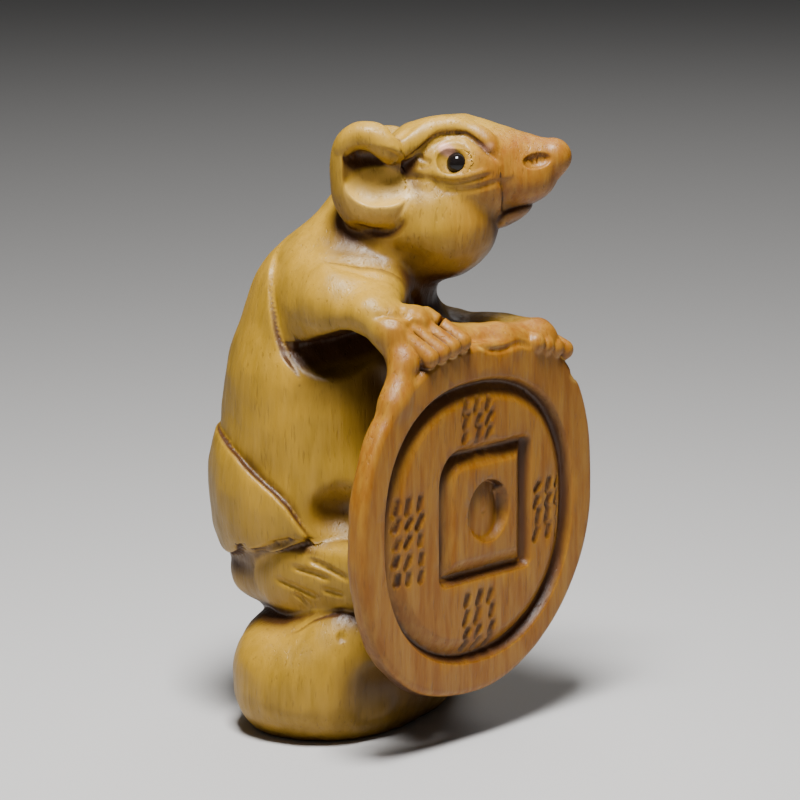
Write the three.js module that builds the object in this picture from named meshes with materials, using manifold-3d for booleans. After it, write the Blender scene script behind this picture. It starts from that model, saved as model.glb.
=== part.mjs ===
// A netsuke: a rat sitting on a rounded seat and holding a big coin in front of it, carved from one
// block of boxwood, with two bead eyes let into its head.
//
// Millimetres, +Z up. The rat faces -Y and its left is +X. The origin is the middle of the flat underside.
//
// The figure is made as closed skins (body, seat, head, arms) over rounded forms, which are then joined
// into one solid. A form is a function of a point that gives its distance outside the surface, negative
// inside, so forms blend smoothly where flesh runs on and meet in a crease where the carver cut a line.
import * as THREE from "three";
import { mergeVertices } from "three/addons/utils/BufferGeometryUtils.js";
import Module from "manifold-3d";

const wasm = await Module();
wasm.setup();

// ---- driving dimensions ----
const COIN_FACE_Y = -15; // front face of the coin
const COIN_THICK = 2;
const COIN_CENTRE = [-0.1, 18.8]; // in X and Z
const COIN_HALF_WIDTH = 14.6;
const COIN_RISE = 15; // from its centre to its top
const COIN_DROP = 14.7; // and to its bottom
const COIN_POWERS = [2.8, 2.25, 2.4, 1.85]; // how square each quarter is, counter-clockwise from +X
const COIN_EDGE = 0.7; // rounding of its edges
const FIELD_CENTRE = [-0.2, 18.9];
const FIELD_HALF_WIDTH = 11.9; // to the outside of the groove that the field lies in
const FIELD_HALF_HEIGHT = 12.1;
const FIELD_POWERS = [2.3, 2.4, 2.3, 2.15];
const SQUARE_CENTRE = [0.5, 19.6];
const SQUARE_HALF = 5.5; // to the outside of the groove round the square
const GROOVE_DEPTH = 0.9;
const GROOVE_WIDTH = 1.3;
const CUSHION_DROP = 0.15; // how far the field and the square stay behind the rim
const PIT_RADIUS = 2.6;
const PIT_DEPTH = 2;

// The hollow under each arm: what is cut out between the belly's ledge and the arm.
const RIGHT_HOLLOW = { at: [-11, -8, 37], radii: [8.5, 8, 7.6], ledge: 29.9, ceiling: 35.2 };
const LEFT_HOLLOW = { at: [9.8, -7.6, 29.5], radii: [4, 6.2, 4.2], ledge: 26, ceiling: 33.6 };
const LAP_HOLLOW = { at: [-8.8, -8, 19.2], radii: [3.2, 3.8, 2.6] }; // between the belly, thigh and coin

// Flat cuts round the thigh: slope towards the front in degrees, a point on it, and which side goes.
const THIGH_CUTS = [
  { tilt: 30, y: 8, z: 26.4, side: 1 },
  { tilt: 50, y: -3, z: 19.6, side: 1 },
  { tilt: -17, y: 0, z: 15.4, side: -1 },
];

const HEAD_AT = [4.6, -8.6, 47.7]; // on the head's middle plane, level with the eyes
const HEAD_TURN_DEG = 35; // to the rat's left
const HEAD_LEAN_DEG = 8; // crown towards the rat's left
const EAR_TURN_DEG = [12, 0, -14];
const EAR_CUP = { at: [-6.1, -7.3, -0.9], radii: [3.1, 2.4, 2.9] };
const EYE_AT = [0, -4.3, 0]; // forward, left, up of HEAD_AT
const EYE_RADIUS = 0.93;
const EYE_GAP = 0.3; // clear room round each bead

// The joints of the arms from shoulder to paw, each [x, y, z, radius].
const RIGHT_ARM = [
  [-5.8, -3, 36.6, 2.7],
  [-7.2, -5.6, 36.9, 2.4],
  [-8, -9.4, 36.9, 1.8],
  [-8, -12, 35.2, 1.6],
];
const LEFT_ARM = [
  [5.2, 0.6, 32.4, 4],
  [7.4, -3.4, 30.8, 3.3],
  [8.6, -9, 31.8, 2.3],
  [8.6, -13.3, 32.8, 1.8],
];

// The first and the last finger of each paw, each from its knuckle to its tip.
const RIGHT_FINGERS = [
  [[-8, -11.6, 34.9], [-6.6, -14.7, 33.2]],
  [[-2.9, -11.6, 35.7], [-2.4, -14.7, 34]],
];
const LEFT_FINGERS = [
  [[6.6, -12, 33.6], [7, -14.7, 32.9]],
  [[10.9, -12, 33], [11.5, -14.7, 31.9]],
];
const FINGER_RADIUS = 0.9;

const BODY_CELL = 2.8;
const FOOT_CELL = 2.3;
const LIMB_CELL = 1.8;
const HEAD_CELL = 1.15;
const EAR_CELL = 1;

const rad = THREE.MathUtils.degToRad;

// ---- forms ----

// A rounded lump about its own middle. A power of 2 is an ellipsoid, and a higher one is squarer.
function lump(centre, radii, { turn = [0, 0, 0], power = 2 } = {}) {
  const inverse = new THREE.Matrix4()
    .makeRotationFromEuler(new THREE.Euler(...turn.map(rad)))
    .setPosition(...centre)
    .invert();
  const q = new THREE.Vector3();
  return (x, y, z) => {
    q.set(x, y, z).applyMatrix4(inverse);
    const share = q.toArray().map((t, i) => Math.abs(t) / radii[i]);
    const k = share.reduce((sum, s) => sum + s ** power, 0) ** (1 / power);
    if (k < 1e-6) return -Math.min(...radii);
    const slope = Math.hypot(...share.map((s, i) => (s / k) ** (power - 1) / radii[i]));
    return (k - 1) / slope;
  };
}

// A tapered rod with round ends, each [x, y, z, radius].
function rod(from, to) {
  const start = new THREE.Vector3(...from);
  const along = new THREE.Vector3(...to).sub(start);
  const p = new THREE.Vector3();
  return (x, y, z) => {
    p.set(x, y, z).sub(start);
    const t = THREE.MathUtils.clamp(p.dot(along) / along.lengthSq(), 0, 1);
    return p.addScaledVector(along, -t).length() - THREE.MathUtils.lerp(from[3], to[3], t);
  };
}

// A limb through several joints, each [x, y, z, radius].
function limb(joints, softness = 1) {
  const rods = joints.slice(1).map((to, i) => rod(joints[i], to));
  return blend(softness, ...rods);
}

function smoothMin(a, b, softness) {
  const h = Math.max(softness - Math.abs(a - b), 0);
  return Math.min(a, b) - (h * h) / (4 * softness);
}

// Joins forms as flesh runs on, over about the given distance.
function blend(softness, ...forms) {
  return (x, y, z) => forms.map((f) => f(x, y, z)).reduce((a, b) => smoothMin(a, b, softness));
}

// Takes a tool's form out of another, with an edge rounded over about the given distance.
function carve(form, tool, softness) {
  return (x, y, z) => -smoothMin(-form(x, y, z), tool(x, y, z), softness);
}

// ---- the rat ----

function torsoForm() {
  const hips = lump([0, 1.1, 19], [10.9, 10.4, 13]);
  const chest = lump([0, 1.1, 28.2], [10.5, 9.6, 12]);
  const neck = rod([-0.8, 1.6, 36, 5.8], [2, -4.6, 43.5, 5.8]);
  const nearShoulder = rod([-4.2, -0.4, 37, 4.4], [-7, -4.8, 36.9, 2.9]);
  const farShoulder = rod([3.6, 1, 34.6, 3.2], [5.4, -1.4, 32, 3]); // held lower and further back
  const core = lump([0, -10, 19], [6, 4.5, 10]); // wood left between the belly and the coin
  const shelf = lump([2.5, -8.5, 31.4], [6.5, 4.5, 3]); // and between the arms
  return blend(2, blend(3, hips, chest, neck, nearShoulder, farShoulder), core, shelf);
}

function thighForm() {
  return lump([-2.5, 1, 20], [9.5, 10.3, 12]);
}

function footForm() {
  return limb([[-6.2, 4, 13.1, 3.2], [-7.4, -2.5, 13.3, 3.5], [-7.2, -9.8, 14.4, 2.5]], 2);
}

// The far forearm lies along the top of the coin, and the near wrist runs down its edge.
function bridgeForm() {
  const forearm = limb([
    [-5, -10.2, 34.6, 1.7],
    [-1.5, -11.2, 33.3, 1.9],
    [4, -12.8, 32.7, 2],
    [9, -13, 32.5, 1.8],
  ]);
  const wristToRim = limb([[-8.2, -11.6, 35.2, 1.5], [-8.5, -13.2, 33, 1.5], [-10.2, -13.9, 30, 1.1]]);
  const hand = limb([[-8, -9.8, 36.4, 1.7], [-5.2, -12.4, 35.3, 1.5], [-3.4, -12.2, 35.5, 1.2]]);
  return blend(0.8, forearm, wristToRim, hand);
}

function seatForm() {
  const slab = lump([-0.8, -0.7, 4.5], [13.1, 8.1, 6.6], { turn: [0, 0, 14], power: 2.4 });
  const mound = lump([-1, -5, 8.2], [9.6, 6, 5.4]); // under the feet and behind the coin
  return blend(2, slab, mound);
}

function tailForm() {
  return limb([
    [0, 9.6, 12.5, 2.2],
    [5.5, 8.3, 9.4, 2],
    [9.6, 6, 7.5, 1.8],
    [11.4, 2, 6.4, 1.7],
    [10.6, -3, 6.6, 1.4],
  ]);
}

// In the head's own frame: x forward, y to the rat's left, z up.
function headForm() {
  const skull = lump([-1.4, 0, -0.6], [6.2, 5.2, 4.7]);
  const jowl = lump([-2.6, 0, -4.6], [5.7, 5.6, 5.2], { power: 2.1 });
  const nape = lump([-5.5, 0, -4.5], [4.6, 5, 5.5]);
  const muzzle = rod([1.2, 0, -0.6, 4.4], [7.5, 0, 0.75, 1.6]);
  const lip = lump([4.5, 0, -1.3], [3.1, 2.6, 2]);
  const chin = lump([3.3, 0, -4], [2.4, 1.7, 1], { turn: [0, -20, 0] });
  const face = blend(0.5, blend(1.6, jowl, nape), blend(1.5, skull, muzzle, lip), chin);
  const brow = limb([
    [-5.3, -5.4, 0.5, 0.8],
    [-3.6, -4.5, 1.9, 0.8],
    [-1.6, -3.2, 3.1, 0.8],
    [0.6, -2.6, 3.2, 0.7],
    [2.5, -2.9, 1.9, 0.6],
  ], 0.5);
  const mouth = lump([5.3, 0, -3.3], [1.9, 4, 0.3], { turn: [0, -16, 0] });
  return carve(blend(0.4, face, onBothSides(brow)), mouth, 0.3);
}

// A cupped shell, and the fold of skin that runs from its top round to the brow.
function earForm() {
  return lump([-7.3, -5.3, -1.2], [3.3, 1.5, 4.6], { turn: EAR_TURN_DEG, power: 2.4 });
}

function earFoldForm() {
  return limb([
    [-8.4, -5.9, 1.7, 0.9],
    [-7.2, -6.2, 2.3, 1],
    [-5.6, -6.2, 1.6, 1],
    [-4.4, -5.2, 2, 0.8],
  ], 0.3);
}

function onBothSides(form) {
  return (x, y, z) => form(x, -Math.abs(y), z);
}

// ---- skins over the forms ----

// A closed mesh over a form inside a box. Each grid cell that the surface passes through gets one
// vertex, moved onto the surface, and each grid edge that it crosses gets a quad of four such vertices.
function skin(form, low, high, cell) {
  const count = low.map((l, i) => Math.ceil((high[i] - l) / cell) + 1);
  const step = [1, count[0], count[0] * count[1]];
  const place = (i, axis) => low[axis] + i * cell;
  const value = new Float32Array(count[0] * count[1] * count[2]);
  const each = (last, visit) => {
    for (let k = 0; k < count[2] - last; k++)
      for (let j = 0; j < count[1] - last; j++)
        for (let i = 0; i < count[0] - last; i++) visit([i, j, k], i + j * step[1] + k * step[2]);
  };
  each(0, ([i, j, k], at) => {
    value[at] = form(place(i, 0), place(j, 1), place(k, 2)) || 1e-6;
  });

  const corners = [0, 1, 2, 3, 4, 5, 6, 7].map((c) => [c & 1, (c >> 1) & 1, c >> 2]);
  const points = [];
  const vertexOf = new Map();
  each(1, (index, at) => {
    const inside = corners.map((c) => value[at + c[0] + c[1] * step[1] + c[2] * step[2]] < 0);
    if (inside.every((s) => s === inside[0])) return;
    const sum = new THREE.Vector3();
    let crossings = 0;
    corners.forEach((c, n) => {
      for (let axis = 0; axis < 3; axis++) {
        if (c[axis] || inside[n] === inside[n + (1 << axis)]) continue;
        const start = at + c[0] + c[1] * step[1] + c[2] * step[2];
        const a = value[start];
        const b = value[start + step[axis]];
        const point = c.map((offset, i) => place(index[i] + offset, i));
        point[axis] += (cell * a) / (a - b);
        sum.add(new THREE.Vector3(...point));
        crossings++;
      }
    });
    vertexOf.set(at, points.length);
    points.push(settle(form, sum.divideScalar(crossings), cell));
  });

  const quads = [];
  each(1, (index, at) => {
    for (let axis = 0; axis < 3; axis++) {
      const u = (axis + 1) % 3;
      const v = (axis + 2) % 3;
      if (!index[u] || !index[v]) continue;
      const a = value[at] < 0;
      if (a === value[at + step[axis]] < 0) continue;
      const around = [at, at - step[u], at - step[u] - step[v], at - step[v]].map((n) => vertexOf.get(n));
      quads.push(a ? around : around.reverse());
    }
  });
  for (let n = 0; n < 3; n++) relax(form, points, quads, cell);
  return new THREE.BufferGeometry()
    .setAttribute("position", new THREE.Float32BufferAttribute(points.flatMap((p) => p.toArray()), 3))
    .setIndex(quads.flatMap((quad) => split(quad, points)));
}

// Two triangles from a quad, along its shorter diagonal.
function split([a, b, c, d], points) {
  const short = points[a].distanceTo(points[c]) < points[b].distanceTo(points[d]);
  return short ? [a, b, c, a, c, d] : [a, b, d, b, c, d];
}

// Evens out the facets: each point goes to the middle of those it is joined to, and back onto the surface.
function relax(form, points, quads, cell) {
  const sums = points.map(() => new THREE.Vector3());
  const counts = points.map(() => 0);
  for (const quad of quads) {
    quad.forEach((a, i) => {
      sums[a].add(points[quad[(i + 1) % 4]]);
      counts[a]++;
    });
  }
  points.forEach((point, i) => {
    point.lerp(sums[i].divideScalar(counts[i]), 0.5);
    point.copy(settle(form, point, cell));
  });
}

// Moves a point down the form's slope onto its surface, but no further than half a cell.
function settle(form, point, cell) {
  const start = point.clone();
  const h = 0.05; // step for the slope
  for (let n = 0; n < 4; n++) {
    const { x, y, z } = point;
    const slope = new THREE.Vector3(
      form(x + h, y, z) - form(x - h, y, z),
      form(x, y + h, z) - form(x, y - h, z),
      form(x, y, z + h) - form(x, y, z - h),
    ).divideScalar(2 * h);
    point.addScaledVector(slope, -form(x, y, z) / Math.max(slope.lengthSq(), 0.25));
  }
  return point.sub(start).clampLength(0, cell / 2).add(start);
}

// ---- joining and cutting ----

function solid(geometry, matrix = new THREE.Matrix4()) {
  const bare = geometry.clone().applyMatrix4(matrix);
  bare.deleteAttribute("normal");
  bare.deleteAttribute("uv");
  const merged = mergeVertices(bare, 1e-4);
  return new wasm.Manifold(
    new wasm.Mesh({
      numProp: 3,
      vertProperties: merged.attributes.position.array,
      triVerts: new Uint32Array(merged.index.array),
    }),
  );
}

function geometryOf(made) {
  const mesh = made.getMesh();
  return new THREE.BufferGeometry()
    .setAttribute("position", new THREE.BufferAttribute(mesh.vertProperties, 3))
    .setIndex(new THREE.BufferAttribute(mesh.triVerts, 1));
}

// The head's frame: x forward along the snout, y to the rat's left, z up.
function headMatrix() {
  const turn = new THREE.Matrix4().makeRotationZ(rad(HEAD_TURN_DEG - 90));
  const lean = new THREE.Matrix4().makeRotationX(rad(-HEAD_LEAN_DEG));
  return new THREE.Matrix4().makeTranslation(...HEAD_AT).multiply(turn).multiply(lean);
}

// ---- the coin ----

// A closed oval, each quarter as square as its own power, counter-clockwise from the +X axis.
function oval(halfWidth, rise, drop, powers, points = 40) {
  const shape = [];
  for (let n = 0; n < points; n++) {
    const a = (2 * Math.PI * n) / points;
    const power = powers[Math.floor((4 * n) / points)];
    const across = Math.abs(Math.cos(a)) / halfWidth;
    const along = Math.abs(Math.sin(a)) / (n < points / 2 ? rise : drop);
    const reach = (across ** power + along ** power) ** (-1 / power);
    shape.push(new THREE.Vector2(Math.cos(a) * reach, Math.sin(a) * reach));
  }
  return new THREE.Shape(shape);
}

// Stands an extrusion up so that it runs towards -Y from the plane y = back, about a point in X and Z.
function standing([x, z], back) {
  return new THREE.Matrix4().makeRotationX(Math.PI / 2).setPosition(x, back, z);
}

// An oval block with its front on the plane y = front. Both its ends slope in over the groove's depth.
function fieldBlock(inset, front) {
  const halves = [FIELD_HALF_WIDTH, FIELD_HALF_HEIGHT, FIELD_HALF_HEIGHT].map((half) => half - inset);
  const slope = GROOVE_WIDTH / 2;
  const blank = new THREE.ExtrudeGeometry(oval(...halves, FIELD_POWERS), {
    depth: 0.2,
    bevelThickness: GROOVE_DEPTH, bevelSize: slope, bevelOffset: -slope, bevelSegments: 1,
  });
  return solid(blank, standing(FIELD_CENTRE, front + GROOVE_DEPTH + 0.2));
}

// A square block with sloping sides between two planes across Y.
function squareBlock(front, frontHalf, back, backHalf) {
  const block = new THREE.CylinderGeometry(backHalf * Math.SQRT2, frontHalf * Math.SQRT2, back - front, 4);
  block.rotateY(Math.PI / 4).translate(SQUARE_CENTRE[0], (front + back) / 2, SQUARE_CENTRE[1]);
  return solid(block);
}

function coinSolid() {
  const outline = oval(COIN_HALF_WIDTH, COIN_RISE, COIN_DROP, COIN_POWERS);
  const blank = new THREE.ExtrudeGeometry(outline, {
    depth: COIN_THICK - 2 * COIN_EDGE,
    bevelThickness: COIN_EDGE, bevelSize: COIN_EDGE, bevelOffset: -COIN_EDGE, bevelSegments: 2,
  });
  const slope = GROOVE_WIDTH / 2;
  const floor = 0.1; // flat bottom of each groove
  const face = COIN_FACE_Y + CUSHION_DROP;
  const bottom = face + GROOVE_DEPTH;
  const squareHollow = squareBlock(face, SQUARE_HALF, bottom, SQUARE_HALF - slope);
  const square = squareBlock(face, SQUARE_HALF - 2 * slope, bottom + 0.3, SQUARE_HALF - slope - floor);
  const pit = new THREE.SphereGeometry(1, 16, 10).scale(PIT_RADIUS, PIT_DEPTH, PIT_RADIUS);
  const pitAt = new THREE.Matrix4().makeTranslation(SQUARE_CENTRE[0] + 0.3, face, SQUARE_CENTRE[1]);
  return solid(blank, standing(COIN_CENTRE, COIN_FACE_Y + COIN_THICK - COIN_EDGE))
    .subtract(fieldBlock(0, COIN_FACE_Y - GROOVE_DEPTH - 0.2))
    .add(fieldBlock(slope + floor, face))
    .subtract(squareHollow)
    .add(square)
    .subtract(solid(pit, pitAt));
}

// ---- paws ----

// Four fingers side by side over the coin's rim, each a capsule. The first and the last are given, each
// as [knuckle, tip].
function fingerSolids(first, last, radius) {
  return [0, 1, 2, 3].map((n) => {
    const [from, to] = [0, 1].map((end) =>
      new THREE.Vector3(...first[end]).lerp(new THREE.Vector3(...last[end]), n / 3),
    );
    const length = from.distanceTo(to);
    const finger = new THREE.CapsuleGeometry(radius, length, 2, 8);
    const direction = to.clone().sub(from).normalize();
    const turn = new THREE.Quaternion().setFromUnitVectors(new THREE.Vector3(0, 1, 0), direction);
    const middle = from.add(to).multiplyScalar(0.5);
    return solid(finger, new THREE.Matrix4().compose(middle, turn, new THREE.Vector3(1, 1, 1)));
  });
}

// ---- the pieces ----

function bothSidesOf(made) {
  return [made, made.mirror([1, 0, 0])];
}

// The thigh stands proud of the flank and of the foot. Two flat cuts bound it above, from the small of
// the back down to the knee, and one below.
function thighSolid() {
  const mass = solid(skin(thighForm(), [-14, -11, 4], [9, 13, 34], BODY_CELL));
  return THIGH_CUTS.reduce((made, { tilt, y, z, side }) => {
    const waste = new THREE.BoxGeometry(60, 60, 30).translate(0, 0, 15 * side);
    return made.subtract(solid(waste, new THREE.Matrix4().makeRotationX(rad(tilt)).setPosition(0, y, z)));
  }, mass);
}

function hollowSolid({ at, radii, ledge = -Infinity, ceiling = Infinity }) {
  const [x, y, z] = at;
  let scoop = solid(new THREE.SphereGeometry(1, 12, 8).scale(...radii).translate(x, y, z));
  for (const [level, side] of [[ledge, -1], [ceiling, 1]]) {
    if (!Number.isFinite(level)) continue;
    scoop = scoop.subtract(solid(new THREE.BoxGeometry(30, 30, 20).translate(x, y, level + 10 * side)));
  }
  return scoop;
}

function headSolid() {
  const at = headMatrix();
  const cup = new THREE.SphereGeometry(1, 14, 10).scale(...EAR_CUP.radii);
  const cupAt = (side) => {
    const turn = new THREE.Euler(...EAR_TURN_DEG.map((degrees) => rad(side * degrees)));
    const [x, y, z] = EAR_CUP.at;
    return at.clone().multiply(new THREE.Matrix4().makeRotationFromEuler(turn).setPosition(x, side * y, z));
  };
  return solid(skin(headForm(), [-12, -8, -12], [11, 8, 6], HEAD_CELL), at)
    .add(solid(skin(onBothSides(earForm()), [-12, -9, -7], [-3, 9, 5], EAR_CELL), at))
    .subtract(solid(cup, cupAt(1)))
    .subtract(solid(cup, cupAt(-1)))
    .add(solid(skin(onBothSides(earFoldForm()), [-12, -9, -7], [-3, 9, 5], EAR_CELL), at));
}

function eyeAt(side) {
  return headMatrix().multiply(new THREE.Matrix4().makeTranslation(EYE_AT[0], side * EYE_AT[1], EYE_AT[2]));
}

function carving() {
  const torso = solid(skin(torsoForm(), [-16, -16, 2], [16, 15, 50], BODY_CELL));
  const foot = solid(skin(footForm(), [-13, -14, 6], [-2, 9, 20], FOOT_CELL));
  const rightArm = limb(RIGHT_ARM, 2.5);
  const leftArm = limb(LEFT_ARM, 2.5);
  const parts = [
    torso
      .subtract(hollowSolid(RIGHT_HOLLOW))
      .subtract(hollowSolid(LEFT_HOLLOW))
      .subtract(hollowSolid(LAP_HOLLOW)),
    ...bothSidesOf(thighSolid()),
    ...bothSidesOf(foot),
    solid(skin(seatForm(), [-17, -14, -4], [17, 12, 16], BODY_CELL)),
    solid(skin(tailForm(), [-3, -7, 3], [16, 13, 16], LIMB_CELL)),
    headSolid(),
    solid(skin(rightArm, [-14, -17, 27], [0, 7, 42], LIMB_CELL)),
    solid(skin(leftArm, [0, -17, 25], [14, 7, 42], LIMB_CELL)),
    coinSolid(),
    solid(skin(bridgeForm(), [-14, -17, 26], [12, -7, 40], LIMB_CELL)),
    ...fingerSolids(...RIGHT_FINGERS, FINGER_RADIUS),
    ...fingerSolids(...LEFT_FINGERS, FINGER_RADIUS),
  ];
  const socket = new THREE.SphereGeometry(EYE_RADIUS + EYE_GAP, 12, 8);
  const ground = new THREE.BoxGeometry(60, 60, 10).translate(0, 0, -5);
  return parts
    .reduce((a, b) => a.add(b))
    .subtract(solid(socket, eyeAt(1)))
    .subtract(solid(socket, eyeAt(-1)))
    .subtract(solid(ground));
}

const boxwood = new THREE.MeshStandardMaterial({ color: 0xc79a4b, roughness: 0.38, metalness: 0 });
const bead = new THREE.MeshStandardMaterial({ color: 0x0c0a0a, roughness: 0.08, metalness: 0 });

const netsuke = new THREE.Group();
const block = new THREE.Mesh(geometryOf(carving()), boxwood);
block.name = "carving";
netsuke.add(block);

for (const [name, side] of [["eye_right", 1], ["eye_left", -1]]) {
  const eye = new THREE.Mesh(new THREE.SphereGeometry(EYE_RADIUS, 12, 8), bead);
  eye.name = name;
  eye.applyMatrix4(eyeAt(side));
  netsuke.add(eye);
}

export default netsuke;
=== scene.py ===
"""A boxwood netsuke: a rat that sits on a rounded seat and holds a big old coin in front of it.

The CAD block is copied, its facets are remeshed finely, and the copy is then carved: every point is moved
onto the figure's rounded forms, less what gouges, knives and points took out of them. Forms are written in
millimetres in the row frame, and a form is a function of points that gives their distance outside its
surface, negative inside.
"""
import math

import bmesh
import bpy
import numpy as np
from mathutils import Euler, Matrix, Vector


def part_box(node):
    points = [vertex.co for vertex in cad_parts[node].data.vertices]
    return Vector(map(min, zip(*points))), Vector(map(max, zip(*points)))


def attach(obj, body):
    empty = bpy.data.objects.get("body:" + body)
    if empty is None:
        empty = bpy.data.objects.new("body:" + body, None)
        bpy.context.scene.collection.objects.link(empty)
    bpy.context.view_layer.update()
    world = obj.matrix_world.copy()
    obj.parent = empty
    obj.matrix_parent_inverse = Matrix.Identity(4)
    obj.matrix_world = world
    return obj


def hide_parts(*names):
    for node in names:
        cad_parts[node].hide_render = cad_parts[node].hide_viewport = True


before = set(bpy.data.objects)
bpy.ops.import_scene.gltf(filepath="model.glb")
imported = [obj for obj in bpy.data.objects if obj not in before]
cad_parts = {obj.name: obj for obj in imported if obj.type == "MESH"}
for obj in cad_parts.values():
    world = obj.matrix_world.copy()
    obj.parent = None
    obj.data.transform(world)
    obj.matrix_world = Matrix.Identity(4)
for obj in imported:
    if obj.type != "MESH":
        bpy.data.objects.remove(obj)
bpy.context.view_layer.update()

MM = 0.001

# ---- driving dimensions, in millimetres ----
FINE_CELL = 0.17  # facet size of the carved copy
MOST_TRIANGLES = 196000
FAR = 10.0  # what a form gives where it isn't worked out
DEEPEST = 1.2  # how far off its path's level a cut still acts

COIN_FACE_Y = -15.0
COIN_THICK = 2.0
COIN_CENTRE = (-0.1, 18.8)  # in X and Z
COIN_HALF_WIDTH = 14.6
COIN_RISE = 15.0
COIN_DROP = 14.7
COIN_POWERS = (2.8, 2.25, 2.4, 1.85)  # how square each quarter is, counter-clockwise from +X
COIN_EDGE = 0.7
FIELD_CENTRE = (-0.2, 18.9)
FIELD_HALF_WIDTH = 11.9
FIELD_HALF_HEIGHT = 12.1
FIELD_POWERS = (2.3, 2.4, 2.3, 2.15)
SQUARE_CENTRE = (0.5, 19.6)
SQUARE_HALF = 5.2  # to the bottom of the groove round the square
GROOVE_DEPTH = 0.9
PIT_AT = (0.9, 19.5)
PIT_RADIUS = 2.6
PIT_DEPTH = 2.6
PIT_SLOPE = 0.4  # of the pit's floor, from one upper corner to the lower one across from it
PIT_STEEP, PIT_GENTLE = 4, 1.3  # the slopes of its wall on those two sides
PIT_ROUGH = 0.22
# Rows of strokes on the coin: their middle in X and Z, their spread across and up, and how many each way.
STROKE_ROWS = ((-0.5, 27.5, 4.4, 3.8, 3, 3), (-9, 18.5, 4.4, 7.6, 3, 5),
               (8.6, 18.6, 4.2, 5.4, 3, 4), (-0.3, 10.2, 4.6, 5.6, 3, 4))
STROKE_WIDTH = 0.42

# What is hollowed out under the arms and in the lap: the middle and the radii, then the levels it ends at.
RIGHT_HOLLOW = ((-11, -8, 37), (8.5, 8, 7.6))
RIGHT_HOLLOW_FLOOR = 29.9
RIGHT_HOLLOW_CEILING = 34
CEILING_RISE = 0.37  # over each millimetre towards the coin
LEFT_HOLLOW = ((9.8, -7.6, 29.5), (4, 6.2, 4.2))
LEFT_HOLLOW_FLOOR = 26
LEFT_HOLLOW_CEILING = 33.6
LAP_HOLLOW = ((-8.8, -8, 19.2), (3.2, 3.8, 2.6))

# The flat cuts round a thigh: slope in degrees, the Y and Z it goes through, and 1 where it is above.
THIGH_CUTS = ((30, 8, 26.4, 1), (50, -3, 19.6, 1), (-17, 0, 15.4, -1))
THIGH_SIDE = -11
UNDERCUT = 0.45

RIGHT_ARM = ((-5.8, -3, 36.6, 2.7), (-7.2, -5.6, 36.8, 2.3), (-7.9, -9.4, 36.8, 1.6))
LEFT_ARM = ((5.2, 0.6, 32.4, 4), (7.4, -3.4, 30.8, 3.3), (8.6, -9, 31.8, 2.3), (8.6, -13.3, 32.8, 1.8))
WEB = ((-2.6, -5.2, 38, 3.2), (-6.2, -9, 36.7, 1.7))  # skin between the throat and the right arm
# The first and the last finger of each paw, each from its knuckle to its tip.
RIGHT_FINGERS = (((-7.9, -12.1, 35.9), (-6.5, -14.7, 33.4)), ((-3.8, -12.1, 36.4), (-2.5, -14.7, 34.2)))
LEFT_FINGERS = (((6.6, -12, 33.6), (7, -14.6, 32.9)), ((10.2, -12.4, 32.9), (10.8, -14.5, 31.8)))
MOUTH_FILL = ((3.9, 0, -3.6, 1.3), (4.9, 0, -3.1, 1))  # in the head's frame

# How unevenly knives and the hand left the wood: the height and the length of its waves.
SLOW_WAVES = (0.07, 7.0)
FINE_WAVES = (0.028, 2.4)
CHATTER = (0.05, 1.1)  # only on the back of the right hand

# How far painted shade and highlights look for wood round a point, for a thin edge's far side, and upwards.
RECESS_REACHES = (0.5, 1.0, 2.0, 4.0)
EDGE_REACHES = (0.35, 0.8)
SHELTER_REACHES = (1.5, 3.5, 6.0)

OLIVE = (0.25, 0.14, 0.006, 1)
HONEY = (0.40, 0.22, 0.012, 1)
# the coin's own darker orange, which also paints shade onto its face
COIN_ORANGE_AND_SHADE = (0.24, 0.082, 0.002, 1)
BROWN = (0.05, 0.016, 0.003, 1)
PALE_STREAK = (0.55, 0.32, 0.05, 1)
# pale wear on thin edges, also used for painted highlights on the ear's floor and the coin's rim
WORN_AND_HIGHLIT = (0.62, 0.38, 0.08, 1)
# a painted highlight on the upper lids and the front of the brow
LID_HIGHLIGHT_PINK = (0.8, 0.42, 0.3, 1)
BEAD_DARK, BEAD_LIGHT = (0.004, 0.003, 0.003, 1), (0.012, 0.009, 0.008, 1)
FLOOR_GREY = (0.5, 0.49, 0.48, 1)
ORANGE_FROM, ORANGE_TO = -0.011, -0.0135  # in Y, in metres: over this the coin's darker orange, its own patina and painted shade, takes over

VIEW_AZIMUTH, VIEW_ELEVATION, VIEW_DISTANCE = -47.5, 11.0, 0.3
LOOK_AT = Vector((2.86, -3.0, 27.06)) * MM
FOCAL_LENGTH, SENSOR_WIDTH = 157.5, 36
# Each light's azimuth, elevation, distance and size in metres, and power in watts.
LIGHTS = {"overhead": (-48, 70, 0.2, 0.06, 1.22), "front_fill": (-75, 22, 0.7, 0.5, 0.06),
          "back_rim": (120, 55, 0.6, 0.3, 0.8)}
SKY_STRENGTH = 0.045


# ---- the head's own frame, found from the two bead eyes: x forward, y to the rat's left, z up ----
def middle_of(node):
    low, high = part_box(node)
    return (low + high) / 2 / MM


RIGHT_EYE = middle_of("eye_right")
LEFT_EYE = middle_of("eye_left")
EYE_SIDE = (LEFT_EYE - RIGHT_EYE).length / 2
HEAD_LEFT = (LEFT_EYE - RIGHT_EYE).normalized()
HEAD_FORWARD = Vector((HEAD_LEFT.y, -HEAD_LEFT.x, 0)).normalized()
HEAD_UP = HEAD_FORWARD.cross(HEAD_LEFT)
HEAD_AXES = np.array((HEAD_FORWARD, HEAD_LEFT, HEAD_UP))
HEAD_AT = np.array((LEFT_EYE + RIGHT_EYE) / 2)


def out_of_head(point):
    """A point of the head's own frame, in the row frame."""
    return HEAD_AT + np.array(point) @ HEAD_AXES


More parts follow.
